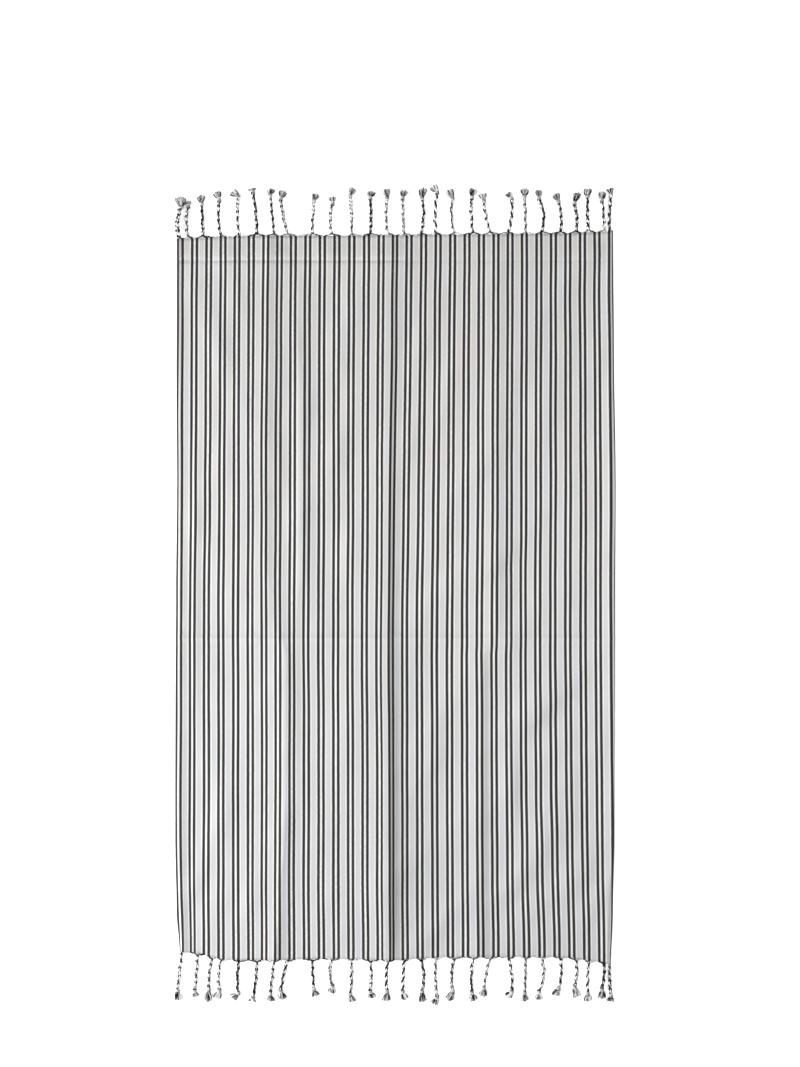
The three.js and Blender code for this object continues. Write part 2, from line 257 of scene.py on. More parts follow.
# Broad humps with their tops along a fold: how far they fall to the left, and their height and
# how far they fall to the right at stations along the towel
HUMPS = [
    {
        "fold": "quarter fold",
        "left": 190,
        "rows": [
            {"y": 800, "high": 1.5, "right": 40},
            {"y": 560, "high": 2.5, "right": 50},
            {"y": 260, "high": 3.5, "right": 55},
            {"y": 77, "high": 2.6, "right": 100},
            {"y": -40, "high": 2.6, "right": 100},
            {"y": -140, "high": 2.6, "right": 40},
            {"y": -640, "high": 2.8, "right": 40},
            {"y": -800, "high": 2.6, "right": 40},
        ],
    },
    {
        "fold": "quarter fold",
        "left": 205,
        "rows": [
            {"y": 800, "high": 1, "right": 200},
            {"y": 400, "high": 5, "right": 200},
            {"y": -700, "high": 7, "right": 200},
            {"y": -800, "high": 4, "right": 200},
        ],
    },
    {
        "fold": "centre fold",
        "left": 250,
        "rows": [
            {"y": 800, "high": 1, "right": 30},
            {"y": 100, "high": 1.5, "right": 34},
            {"y": -121, "high": 2.2, "right": 36},
            {"y": -400, "high": 3.2, "right": 38},
            {"y": -700, "high": 3.6, "right": 38},
            {"y": -800, "high": 2.5, "right": 34},
        ],
    },
    {
        "fold": "centre fold",
        "left": 270,
        "rows": [
            {"y": 0, "high": 0, "right": 60},
            {"y": -121, "high": 1, "right": 90},
            {"y": -300, "high": 2.5, "right": 130},
            {"y": -600, "high": 4, "right": 140},
            {"y": -700, "high": 4, "right": 140},
            {"y": -800, "high": 2, "right": 120},
        ],
    },
    {
        "fold": "three-quarter fold",
        "left": 180,
        "rows": [
            {"y": 800, "high": 0.6, "right": 60},
            {"y": 300, "high": 1.2, "right": 60},
            {"y": -60, "high": 1.2, "right": 60},
            {"y": -135, "high": 0.8, "right": 24},
            {"y": -800, "high": 1, "right": 24},
        ],
    },
]

# Where stripes between the folds lie, at stations along the towel: their x and their place
# across the cut cloth
STRIPE_ROWS = {
    "left panel": [
        (800, -318, 172.2),
        (-800, -318, 172.2),
    ],
    "beside the quarter folds": [
        (800, -194.4, 303.4),
        (-257, -195.2, 303.4),
        (-800, -196, 303.4),
    ],
    "middle left": [
        (800, -130, 369),
        (-800, -130, 369),
    ],
    "left of the centre fold": [
        (800, -27, 472.8),
        (599, -28.1, 472.8),
        (116, -29.3, 472.8),
        (-132, -29.9, 472.8),
        (-632, -28.7, 472.8),
        (-800, -28.5, 472.8),
    ],
    "down the centre fold": [
        (800, 2.4, 505.6),
        (599, 1.1, 505.6),
        (116, -3.6, 505.6),
        (-132, -5.1, 505.6),
        (-800, -5.1, 505.6),
    ],
    "right of the centre fold": [
        (800, 28.6, 533),
        (599, 27.7, 533),
        (116, 23.3, 533),
        (-132, 20.8, 533),
        (-800, 21.2, 533),
    ],
    "right panel": [
        (800, 314, 828.2),
        (-280, 314, 828.2),
        (-420, 315.5, 828.2),
        (-583, 318.2, 828.2),
        (-792, 322.3, 828.2),
    ],
}
STRIPES = {name: table("y x cut", rows) for name, rows in STRIPE_ROWS.items()}

# How far all the stripes drift to the right at stations along the towel; below 0 it is to the left
DRIFT = table("y right", [
    (740, 2.1),
    (649, 1.4),
    (363, 0.5),
    (209, 0.4),
    (0, -0.8),
    (-121, -0.8),
    (-300, 0),
    (-640, 0),
    (-770, 0.9),
])

# Columns of mesh on the level cloth to the right of each fold but the last
LEVEL_COLUMNS = [2, 22, 4, 34, 38, 42]

# The creases across the towel: height, reach towards foot and head, and the share of the height
# that is left beyond x = to, after a stretch of fade; a valley is low at the crease itself, and
# high beside it
CREASES = [
    {
        "y": -95,
        "valley": False,
        "high": 3.0,
        "footward": 10,
        "headward": 13,
        "to": 484,
        "fade": 1,
        "beyond": 1.0,
    },
    {
        "y": 735,
        "valley": True,
        "high": 2.4,
        "footward": 9,
        "headward": 13,
        "to": -25,
        "fade": 90,
        "beyond": 0.35,
    },
]

# Soft wrinkles: middle, length, half width, turn from the towel's length in degrees, and
# height, which WRINKLE_SIZE multiplies; near the towel's edges they fade out
WRINKLE_SIZE = 1.7
EDGE_FADE = 40.0
WRINKLES = table("x y long wide turn high", [
    (60, 560, 260, 34, -18, 1.3),
    (120, 470, 300, 30, -14, 1.1),
    (30, 330, 200, 32, -20, 1.1),
    (90, 130, 150, 40, -48, 1.2),
    (150, 40, 180, 44, -40, 1.3),
    (60, -20, 160, 36, -62, 1.0),
    (330, 420, 240, 46, -22, 1.2),
    (400, 180, 220, 50, -12, 1.1),
    (300, -250, 260, 50, -52, 1.5),
    (370, -320, 280, 46, -58, 1.4),
    (255, -420, 220, 30, -4, 1.6),
    (330, -520, 260, 52, -40, 1.5),
    (400, -610, 240, 44, -36, 1.7),
    (300, -700, 200, 46, -44, 1.4),
    (100, -690, 260, 34, -84, 1.4),
    (80, -330, 300, 60, -8, 1.0),
    (-120, 560, 320, 44, -16, 1.1),
    (-150, 260, 340, 50, -4, 1.2),
    (-90, 90, 260, 40, 6, 0.9),
    (-120, -330, 320, 60, -6, 0.9),
    (-380, -460, 300, 46, -10, 1.2),
    (-400, -690, 200, 44, -30, 1.2),
    (-370, 120, 420, 64, 3, 0.9),
])

# The rumple of the two halves: heading of the waves from +X in degrees, their length and height;
# RUMPLE_MEETS is the stretch of x where one gives way to the other, and RUMPLE_SOFT rounds the
# foot of the waves, of which only the upper half is kept
LEFT_WAVES = {
    "seed": 4,
    "count": 30,
    "heading": 0,
    "spread": 26,
    "length": (50, 170),
    "high": 0.36,
}
RIGHT_WAVES = {
    "seed": 9,
    "count": 26,
    "heading": -40,
    "spread": 14,
    "length": (50, 190),
    "high": 0.5,
}
RUMPLE_MEETS = (-150, 50)
RUMPLE_SOFT = 0.5

# The tassels of the head end from left to right: root, bow, lean and turn sideways, and how far
# the knot and the tip lie from the towel's middle; a size that is left out is 1
TASSELS = table("at bow lean knot turn tip size", [
    (-475, -6, 4, 852, -2, 874, 1.4),
    (-455, -4, 0, 854, -3, 865),
    (-423, 1, -3, 860, -1, 878),
    (-383, -4, -4, 868, -6, 887),
    (-343, -3, -2, 875, -14, 887),
    (-304, 2, -9, 886, -2, 894),
    (-266, 0, -9, 878, 2, 893),
    (-237, -1, -15, 870, 6, 888),
    (-182, -1, 3, 867, 5, 882),
    (-140, -4, 2, 860, -2, 875),
    (-97, 2, -2, 877, 6, 894),
    (-55, 2, 0, 871, 4, 887),
    (-16, -3, -2, 871, -2, 893),
    (19, 0, -3, 871, 5, 889),
    (56, 5, 3, 871, 2, 894),
    (90, -3, 2, 884, -8, 899),
    (130, -4, -4, 870, -8, 891),
    (171, -2, -3, 872, 5, 892),
    (209, -2, -14, 865, -3, 882),
    (248, 4, 8, 871, -9, 884),
    (286, 1, -2, 875, 1, 893),
    (321, 8, -5, 871, -1, 890),
    (363, 4, -4, 864, -7, 881),
    (397, 4, -3, 860, 7, 884),
    (425, -1, -2, 876, 1, 893),
    (459, 2, -5, 866, 1, 887),
    (471, -1, 3, 880, -3, 894),
])

# The first tassels of the foot end; the others are as those of the head end
FOOT_FIRST = table("at bow lean knot turn tip", [
    (-470, 0, -8, 869, 3, 890),
    (-435, 1, -6, 869, 2, 883),
    (-402, -3, -8, 867, -3, 893),
])
FOOT_TASSELS = FOOT_FIRST + TASSELS[len(FOOT_FIRST):]

# Looks of the cloth: how far the stripes stray and how soft their edges are, in millimetres, the
# scales of each noise across and along the cloth, the stretch of a noise or wave over which each
# look comes in, and the share of it that shows
WANDER = 1.2
WANDER_SCALES = (0.015, 0.004)
WAVER = 0.7
WAVER_SCALES = (0.02, 0.35)
TOOTH = 0.45
TOOTH_YARNS = 4
DARK_SOFT = 0.45
CREAM_SOFT = 1.2
STREAK_SCALES = (0.8, 0.02)
TINT_ALONG = 0.0012
TINT_SCALE = 3.1
HEAD_TINT = (0.1 * HALF_LENGTH, 1.7 * HALF_LENGTH)
WARM_TINTS = (0.36, 0.5)
WARM_AT_FOOT = 0.2
WARM_MORE_AT_HEAD = 0.5
COOL_TINTS = (0.5, 0.66)
COOL_SHARE = 0.7
GREY_STREAKS = (0.4, 0.75)
STREAK_SHARE = 0.16
DARK_STREAKS = (0.35, 0.7)
WARP_UP = (-0.25, 0.25)
SPECK_SHARE = 0.03
# Painted shade: the share by which the colour darkens towards black in the hollows between the
# yarns of the weave
PAINTED_WEAVE_SHADE = 0.12
WEAVE_DEPTH = 0.18 * MM

# Looks of the yarns: the lay of their plies, in millimetres, and the scales of their patches
YARN_LAY = 1.6
YARN_PATCHES = 180.0
PATCH_EDGES = (0.3, 0.7)
YARN_FUZZ = 900.0
YARN_DEPTH = 0.15 * MM

# Colours; the pairs of the yarns are in the order of CHARCOAL, WHITE and GREY
BLACK = (0, 0, 0, 1)
WHITE_LIGHT = (1, 1, 1, 1)
FLOOR_COLOUR = (0.97, 0.97, 0.97, 1)
CHARCOAL_COLOUR = (0.0115, 0.0082, 0.0112, 1)
CHARCOAL_STREAK = (0.0255, 0.0198, 0.0255, 1)
CREAM_COLOUR = (0.67, 0.67, 0.648, 1)
GREY_AT_HEAD = (0.500, 0.494, 0.487, 1)
GREY_AT_FOOT = (0.482, 0.488, 0.516, 1)
GREY_WARM = (0.516, 0.490, 0.476, 1)
GREY_COOL = (0.472, 0.489, 0.522, 1)
GREY_STREAK = (0.42, 0.42, 0.42, 1)
YARN_COLOURS = {
    "yarn_charcoal": ((0.006, 0.0058, 0.0068, 1), (0.018, 0.017, 0.019, 1)),
    "yarn_white": ((0.80, 0.80, 0.78, 1), (0.66, 0.66, 0.645, 1)),
    # The grey yarn is partly the towel's grey warp and partly painted shade on the white yarns,
    # darker than the cloth's grey bands
    "yarn_grey_and_shade": ((0.40, 0.40, 0.40, 1), (0.24, 0.24, 0.245, 1)),
}
CHARCOAL, WHITE, GREY = range(len(YARN_COLOURS))

# Studio, in metres and watts; the floor lies a little lower than the towel's underside
FLOOR_HALF = 8.0
FLOOR_DROP = 0.4 * MM
FLOOR_GLOW = 0.5
SKY_GLOW = 0.30
LIGHTS = {
    "window_left": {"place": (-3.8, -0.8, 1.7), "size": (3.2, 2.8), "power": 424},
    "ceiling": {"place": (0.9, 0.1, 1.6), "size": (1.0, 1.0), "power": 17},
}


# Form of the cloth


def smooth(share):
    """A share from 0 to 1, eased at both ends."""
    return share * share * (3 - 2 * share)


def along(rows, by, at, column):
    """A smooth line through one column of a table, at one place or an array of places."""
    rows = sorted(rows, key=lambda row: row[by])
    places = np.array([row[by] for row in rows], dtype=float)
    values = np.array([row[column] for row in rows], dtype=float)
    at = np.clip(at, places[0], places[-1])
    after = np.clip(np.searchsorted(places, at, side="right"), 1, len(places) - 1)
    share = (at - places[after - 1]) / (places[after] - places[after - 1])
    return values[after - 1] + (values[after] - values[after - 1]) * smooth(share)


def flank(distance, reach):
    """One flank of a ridge, 1 at its crest and 0 at its foot; a long one falls more evenly."""
    eased = np.sqrt(distance**2 + CREST_ROUND**2) - CREST_ROUND
    long = smooth(np.clip((reach - LONG_FLANK) / LONG_FLANK_RANGE, 0, 1))
    power = 2 - LONG_FLANK_EASE * long
    return np.clip(1 - eased / reach, 0, None) ** power


def ridge(x, y, crest_rows, rows, left):
    """A ridge along the towel; left is the reach of its left flank."""
    crest = along(crest_rows, "y", y, "x")
    reach = np.where(x < crest, left, along(rows, "y", y, "right"))
    return along(rows, "y", y, "high") * flank(np.abs(x - crest), reach)


def fold_height(x, y):
    """Height of the folds, humps and creases; the towel's solids have the folds and creases."""
    height = np.zeros(np.broadcast(x, y).shape)
    for stations in FOLDS.values():
        height += ridge(x, y, stations, stations, along(stations, "y", y, "left"))
    for hump in HUMPS:
        height += ridge(x, y, FOLDS[hump["fold"]], hump["rows"], hump["left"])
    for crease in CREASES:
        past = smooth(np.clip((x - crease["to"]) / crease["fade"], 0, 1))
        high = crease["high"] * (1 - (1 - crease["beyond"]) * past)
        away = y - crease["y"]
        if crease["valley"]:
            share = np.abs(away) / np.where(away < 0, crease["footward"], crease["headward"])
            height += high * share * np.exp(1 - share)
        else:
            reach = np.where(away < 0, crease["footward"], crease["headward"])
            height += high * flank(np.abs(away), reach)
    return height


def waves(x, y, field):
    """A sum of many waves, whose crests run near one direction: a softly rumpled surface."""
    random = np.random.default_rng(field["seed"])
    height = np.zeros(np.broadcast(x, y).shape)
    for _ in range(field["count"]):
        length = random.uniform(*field["length"])
        heading = math.radians(random.normal(field["heading"], field["spread"]))
        phase = random.uniform(0, 2 * math.pi)
        run = x * math.cos(heading) + y * math.sin(heading)
        size = field["high"] * length / field["length"][1]
        height += size * np.sin(2 * math.pi * run / length + phase)
    return height


def wrinkle_height(x, y):
    """Height of the soft wrinkles, which fade out towards all four edges."""
    height = np.zeros(np.broadcast(x, y).shape)
    for wrinkle in WRINKLES:
        turn = math.radians(wrinkle["turn"])
        across = (x - wrinkle["x"]) * math.cos(turn) + (y - wrinkle["y"]) * math.sin(turn)
        lengthways = (y - wrinkle["y"]) * math.cos(turn) - (x - wrinkle["x"]) * math.sin(turn)
        body = np.clip(1 - (across / wrinkle["wide"]) ** 2, 0, None) ** 2
        taper = np.clip(1 - (2 * lengthways / wrinkle["long"]) ** 2, 0, None) ** 2
        height += WRINKLE_SIZE * wrinkle["high"] * body * taper
    first, last = RUMPLE_MEETS
    share = smooth(np.clip((x - first) / (last - first), 0, 1))
    rumple = (1 - share) * waves(x, y, LEFT_WAVES) + share * waves(x, y, RIGHT_WAVES)
    height += 0.5 * (rumple + np.sqrt(rumple**2 + RUMPLE_SOFT**2))
    left = along(SELVEDGES, "y", y, "left")
    right = along(SELVEDGES, "y", y, "right")
    inside = np.minimum(np.minimum(x - left, right - x), HALF_LENGTH - np.abs(y))
    return height * smooth(np.clip(inside / EDGE_FADE, 0, 1))


def cloth_height(x, y):
    """Height of the cloth's underside above the floor."""
    return fold_height(x, y) + wrinkle_height(x, y)


def end_at(x, side):
    """The cloth's end at x; side is 1 at the head and -1 at the foot."""
    return along(ENDS, "x", x, "head" if side > 0 else "foot")


def end_and_rise(x, side):
    """The cloth's end at x, and how high the cloth lies there."""
    end = float(end_at(x, side))
    return end, float(fold_height(np.array(x), np.array(end)))


def bent_rows(y, x):
    """The rows' own y at x: near an end they bend with it."""
    head = end_at(x, 1) - HALF_LENGTH
    foot = end_at(x, -1) + HALF_LENGTH
    bend = np.where(y > 0, head, foot)
    return y + bend * (1 - smooth(np.clip((HALF_LENGTH - np.abs(y)) / END_REACH, 0, 1)))


def row_stations():
    """The rows of mesh along the towel, closer together at the creases."""
    count = round(2 * HALF_LENGTH / ROW_PITCH)
    even = np.linspace(-HALF_LENGTH, HALF_LENGTH, count + 1)
    room = CREASE_ROOM * CREASE_RUN
    rows = [y for y in even if all(abs(y - crease["y"]) > room for crease in CREASES)]
    for crease in CREASES:
        rows += [crease["y"] + CREASE_RUN * step for step in CREASE_STEPS]
    return np.array(sorted(rows))


def columns_at(y):
    """Columns of one row: on each crest, down its flanks and over the level cloth between."""
    folds = list(FOLDS.values())
    crests = [float(along(stations, "y", y, "x")) for stations in folds]
    left = float(along(SELVEDGES, "y", y, "left"))
    right = float(along(SELVEDGES, "y", y, "right"))
    columns = [crests[0] + (left - crests[0]) * step for step in reversed(FLANK_STEPS)]
    for index, level in enumerate(LEVEL_COLUMNS):
        room = FLANK_ROOM * (crests[index + 1] - crests[index])
        down = min(float(along(folds[index], "y", y, "right")), room)
        up = min(float(along(folds[index + 1], "y", y, "left")), room)
        columns.append(crests[index])
        columns += [crests[index] + down * step for step in FLANK_STEPS]
        columns += list(np.linspace(crests[index] + down, crests[index + 1] - up, level + 2)[1:-1])
        columns += [crests[index + 1] - up * step for step in reversed(FLANK_STEPS)]
    columns.append(crests[-1])
    columns += [crests[-1] + (right - crests[-1]) * step for step in FLANK_STEPS]
    return columns


def cut_across(x, y, z):
    """Where each point of a row lies across the cut cloth, by the length of the row's line."""
    run = np.concatenate([[0], np.cumsum(np.hypot(np.diff(x), np.diff(z)))])
    known = [(x[0], float(along(SELVEDGES, "y", y, "left_cut")))]
    known.append((x[-1], float(along(SELVEDGES, "y", y, "right_cut"))))
    for rows in [*FOLDS.values(), *STRIPES.values()]:
        known.append((float(along(rows, "y", y, "x")), float(along(rows, "y", y, "cut"))))
    places, cuts = zip(*sorted(known))
    drift = along(DRIFT, "y", y, "right")
    return np.interp(run, np.interp(places, x, run), cuts) - drift


# Meshes


def new_object(name, verts, faces, materials):
    """A smooth mesh, linked to the scene."""
    mesh = bpy.data.meshes.new(name)
    mesh.from_pydata([tuple(v) for v in verts], [], faces)
    for material in materials:
        mesh.materials.append(material)
    mesh.polygons.foreach_set("use_smooth", [True] * len(mesh.polygons))
    piece = bpy.data.objects.new(name, mesh)
    bpy.context.scene.collection.objects.link(piece)
    return piece


def add_uv(piece, uv_of_vertex, name):
    """A UV map from one pair of values for each vertex."""
    layer = piece.data.uv_layers.new(name=name)
    corners = np.empty(len(piece.data.loops), dtype=np.int32)
    piece.data.loops.foreach_get("vertex_index", corners)
    layer.data.foreach_set("uv", np.asarray(uv_of_vertex, dtype=np.float32)[corners].ravel())


def cloth_piece(material):
    """The cloth as a closed shell over its folds; its UV is the place on the cut cloth."""
    stations = row_stations()
    x = np.array([columns_at(y) for y in stations])
    y = bent_rows(np.repeat(stations[:, None], x.shape[1], axis=1), x)
    z = cloth_height(x, y)
    step = SLOPE_STEP
    slope_x = (cloth_height(x + step, y) - cloth_height(x - step, y)) / (2 * step)
    slope_y = (cloth_height(x, y + step) - cloth_height(x, y - step)) / (2 * step)
    slope_y[[0, -1], :] = 0
    out = np.stack([-slope_x, -slope_y, np.ones_like(z)], axis=-1)
    out /= np.linalg.norm(out, axis=-1, keepdims=True)
    under = np.stack([x, y, z], axis=-1)
    over = under + WALL * out
    verts = np.concatenate([under.reshape(-1, 3), over.reshape(-1, 3)]) * MM

    rows, columns = x.shape
    lower = np.arange(rows * columns).reshape(rows, columns)
    upper = lower + rows * columns
    top = np.stack([upper[:-1, :-1], upper[:-1, 1:], upper[1:, 1:], upper[1:, :-1]], axis=-1)
    bottom = np.stack([lower[:-1, :-1], lower[1:, :-1], lower[1:, 1:], lower[:-1, 1:]], axis=-1)
    left = np.stack([lower[:-1, 0], upper[:-1, 0], upper[1:, 0], lower[1:, 0]], axis=-1)
    right = np.stack([lower[:-1, -1], lower[1:, -1], upper[1:, -1], upper[:-1, -1]], axis=-1)
    foot = np.stack([lower[0, :-1], lower[0, 1:], upper[0, 1:], upper[0, :-1]], axis=-1)
    head = np.stack([lower[-1, :-1], upper[-1, :-1], upper[-1, 1:], lower[-1, 1:]], axis=-1)
    faces = np.concatenate([part.reshape(-1, 4) for part in (top, bottom, left, right, foot, head)])

    piece = new_object("towel_cloth", verts, faces.tolist(), [material])
    cut = np.array([cut_across(x[i], stations[i], z[i]) for i in range(rows)])
    uv = np.stack([cut, y + HALF_LENGTH], axis=-1).reshape(-1, 2) * MM
    add_uv(piece, np.concatenate([uv, uv]), "cut")
    return piece


class Tubes:
    """Gathers yarns as thin tubes, each with its material, into one mesh."""

    def __init__(self):
        self.verts = []
        self.faces = []
        self.looks = []
        self.uvs = []
        self.count = 0

    def add(self, path, wide, flat, sides, look):
        """One tube along path, an array of points; wide and flat are its half sizes."""
        path = np.asarray(path, dtype=float)
        tangent = np.gradient(path, axis=0)
        tangent /= np.linalg.norm(tangent, axis=1, keepdims=True)
        side = np.cross(tangent, (0.0, 0.0, 1.0))
        # A little of another direction keeps the side from vanishing on an upright stretch
        side += np.cross(tangent, (0.02, 0.0, 0.0))
        side /= np.linalg.norm(side, axis=1, keepdims=True)
        up = np.cross(side, tangent)
        angles = 2 * math.pi * (np.arange(sides) + 0.5) / sides
        wide = np.broadcast_to(wide, len(path))[:, None, None]
        flat = np.broadcast_to(flat, len(path))[:, None, None]
        ring = side[:, None, :] * np.cos(angles)[None, :, None] * wide
        ring = ring + up[:, None, :] * np.sin(angles)[None, :, None] * flat
        points = path[:, None, :] + ring
        rows = len(path)
        index = self.count + np.arange(rows * sides).reshape(rows, sides)
        turned = np.roll(index, -1, axis=1)
        quads = np.stack([index[:-1], turned[:-1], turned[1:], index[1:]], axis=-1).reshape(-1, 4)
        self.faces += quads.tolist()
        self.faces.append(index[0][::-1].tolist())
        self.faces.append(index[-1].tolist())
        self.looks += [look] * (len(quads) + 2)
        run = np.concatenate([[0], np.cumsum(np.linalg.norm(np.diff(path, axis=0), axis=1))])
        around = np.arange(sides) / sides
        uv = np.stack(np.broadcast_arrays(run[:, None], around[None, :]), axis=-1)
        self.uvs.append(uv.reshape(-1, 2) * (MM, 1.0))
        self.verts.append(points.reshape(-1, 3))
        self.count += rows * sides

    def piece(self, name, materials):
        """The mesh of all tubes, as one piece."""
        verts = np.concatenate(self.verts) * MM
        piece = new_object(name, verts, self.faces, materials)
        piece.data.polygons.foreach_set("material_index", self.looks)
        add_uv(piece, np.concatenate(self.uvs), "yarn")
        return piece


# Tassels


def yarn_look(cut):
    """The colour of the warp that leaves the cloth at a place across the cut."""
    place = abs((cut - FIRST_PAIR + PAIR_PITCH / 2) % PAIR_PITCH - PAIR_PITCH / 2)
    if DARK_FROM < place < DARK_TO:
        return CHARCOAL
    return WHITE if place < CREAM_TO else GREY


def bezier(points, count):
    """Points along the curve that four points give."""
    t = np.linspace(0, 1, count)[:, None]
    a, b, c, d = [np.asarray(p, dtype=float) for p in points]
    return a * (1 - t) ** 3 + 3 * b * t * (1 - t) ** 2 + 3 * c * t**2 * (1 - t) + d * t**3


def spread_over(places, count):
    """Some of the places, evenly chosen."""
    return [places[int((k + 0.5) / count * len(places))] for k in range(count)]


def warp_of(spots, warp, random):
    """The yarns of a tassel, dark ones first: where each leaves the cloth, and its colour."""
    looks = [yarn_look(cut) for cut in np.interp(spots, *warp)]
    dark = [x for x, look in zip(spots, looks) if look == CHARCOAL]
    light = [x for x, look in zip(spots, looks) if look != CHARCOAL]
    count = int(random.integers(*DARK_YARNS)) if dark else 0
    yarns = [(x, CHARCOAL) for x in spread_over(dark, count)]
    for x in spread_over(light, 2 * YARNS_PER_PLY - count):
        # Some light yarns turn grey at random: partly the grey warp, partly painted shade on the
        # white ones
        yarns.append((x, GREY if random.random() < GREY_AND_SHADE_YARNS else WHITE))
    return yarns


class Tassel:
    """One tassel: a cord of yarns gathered from the cloth, its knot and its tuft."""

    def __init__(self, row, side, reach, warp, seed):
        """Reach is how far to its left and right the tassel gathers the warp."""
        self.row = row
        self.side = side
        self.reach = reach
        self.warp = warp
        self.seed = seed
        self.random = np.random.default_rng(seed)
        self.tubes = Tubes()
        self.at = row["at"]
        self.thick = row.get("size", 1.0)
        self.end, self.rise = end_and_rise(self.at, side)
        self.length = row["knot"] - abs(self.end)
        self.wobble = self.random.uniform(*WOBBLE)
        self.phase = self.random.uniform(0, 2 * math.pi)
        self.start_turn = self.random.uniform(0, 2 * math.pi)

    def middle(self, out):
        """The middle of the cord, at a distance out from the cloth's end."""
        share = np.clip(out / self.length, 0, 1)
        x = self.at + self.row["lean"] * share + self.row["bow"] * 4 * share * (1 - share)
        swing = np.sin(WOBBLE_HALF_WAVES * math.pi * share + self.phase)
        x = x + self.wobble * np.sin(math.pi * share) * swing
        fall = np.clip(1 - (out - ROOT_RUN) / FALL_RUN, 0, 1) ** 2 * max(0.0, self.rise - FALL_FROM)
        lying = self.thick * (PLY_OFFSET + PLY_RADIUS + YARN) + FLOOR_GAP
        return np.stack([x, self.end + self.side * out, lying + fall], axis=-1)

    def root(self, source, meet):
        """The way of a yarn from its source in the cloth to where it meets the cord."""
        source_end, source_rise = end_and_rise(source, self.side)
        far = meet[0] - source
        begin = (source, source_end - self.side * ROOT_INSET, source_rise + WALL / 2)
        leave = (
            source + ROOT_LEAVES["share"] * far,
            source_end + self.side * ROOT_LOW,
            source_rise + ROOT_LEAVES["rise"],
        )
        arrive = (
            meet[0] - ROOT_ARRIVES["share"] * far,
            self.end + self.side * ROOT_LOW,
            meet[2] * ROOT_ARRIVES["of_height"] + ROOT_ARRIVES["rise"],
        )
        path = bezier((begin, leave, arrive, meet), ROOT_STEPS)[:-1]
        share = np.linspace(0, 1, ROOT_STEPS)[:-1]
        swirl = self.random.uniform(0, 2 * math.pi) + 2 * math.pi * abs(far) * share / ROOT_PITCH
        path[:, 1] += self.side * ROOT_TWIST * np.sin(math.pi * share) * np.cos(swirl)
        path[:, 2] += ROOT_TWIST * np.sin(math.pi * share) * (1 + np.sin(swirl))
        return path

    def cord(self):
        """Lays the yarns into two twisted plies; returns where each yarn ends, and its look."""
        out = np.arange(ROOT_RUN, self.length + KNOT_REACH, CORD_STEP)
        laid = out - ROOT_RUN
        centre = self.middle(out)
        swell = 1 + KNOT_SWELL * np.exp(-((out - self.length) / KNOT_SWELL_RUN) ** 2)
        neck = 1 - KNOT_NECK * np.clip((out - self.length) / KNOT_REACH, 0, 1)
        size = self.thick * swell * neck
        drift = np.cumsum(self.random.normal(0, CORD_DRIFT, len(out)))
        own_drift = np.cumsum(self.random.normal(0, PLY_DRIFT, (2, len(out))), axis=1)
        mixed = self.random.random() < MIXED_CORDS
        first = self.at + self.reach[0] + GATHER_INSET
        last = self.at + self.reach[1] - GATHER_INSET
        spots = np.linspace(first, last, GATHER_SPOTS)
        ends = []
        # The dark yarns come first, and a mixed cord deals them out to both plies
        for index, (source, look) in enumerate(warp_of(spots, self.warp, self.random)):
            yarn, ply = divmod(index, 2) if mixed else divmod(index, YARNS_PER_PLY)[::-1]
            turn = self.start_turn + math.pi * ply + 2 * math.pi * laid / CORD_PITCH + drift
            own = 2 * math.pi * (yarn / YARNS_PER_PLY - laid / PLY_PITCH) + own_drift[ply]
            x = centre[:, 0] + size * (PLY_OFFSET * np.cos(turn) + PLY_RADIUS * np.cos(own))
            z = centre[:, 2] + size * (PLY_OFFSET * np.sin(turn) + PLY_RADIUS * np.sin(own))
            twisted = np.stack([x, centre[:, 1], np.maximum(z, YARN + FLOOR_GAP)], axis=-1)
            root = self.root(source, twisted[0])
            widths = [np.linspace(ROOT_WIDTH, 1, len(root)), np.ones(len(twisted))]
            spread = self.thick * np.concatenate(widths)
            path = np.concatenate([root, twisted])
            self.tubes.add(path, YARN * spread, YARN / spread**0.5, YARN_SIDES, look)
            ends.append((twisted[-1], look))
        return ends

    def knot(self, middle):
        """Wraps yarns round the end of the cord."""
        run = np.linspace(0, 2 * math.pi * WRAP_TURNS, WRAP_STEPS)
        share = run / run[-1] - 0.5
        turn = run + self.start_turn
        radius = self.thick * WRAP_RADIUS * (1 - WRAP_CLOSE * share**2)
        x = middle[0] + radius * np.cos(turn)
        z = self.thick * WRAP_RADIUS + WRAP_YARN + FLOOR_GAP + radius * np.sin(turn)
        for strand in range(WRAP_YARNS):
            lead = (strand - (WRAP_YARNS - 1) / 2) * WRAP_YARN * WRAP_SPACING
            y = middle[1] + self.side * (lead + WRAP_RUN * share + WRAP_SLANT * np.sin(turn))
            look = CHARCOAL if (strand + self.seed) % 2 else WHITE
            self.tubes.add(np.stack([x, y, z], axis=-1), WRAP_YARN, WRAP_YARN, YARN_SIDES, look)

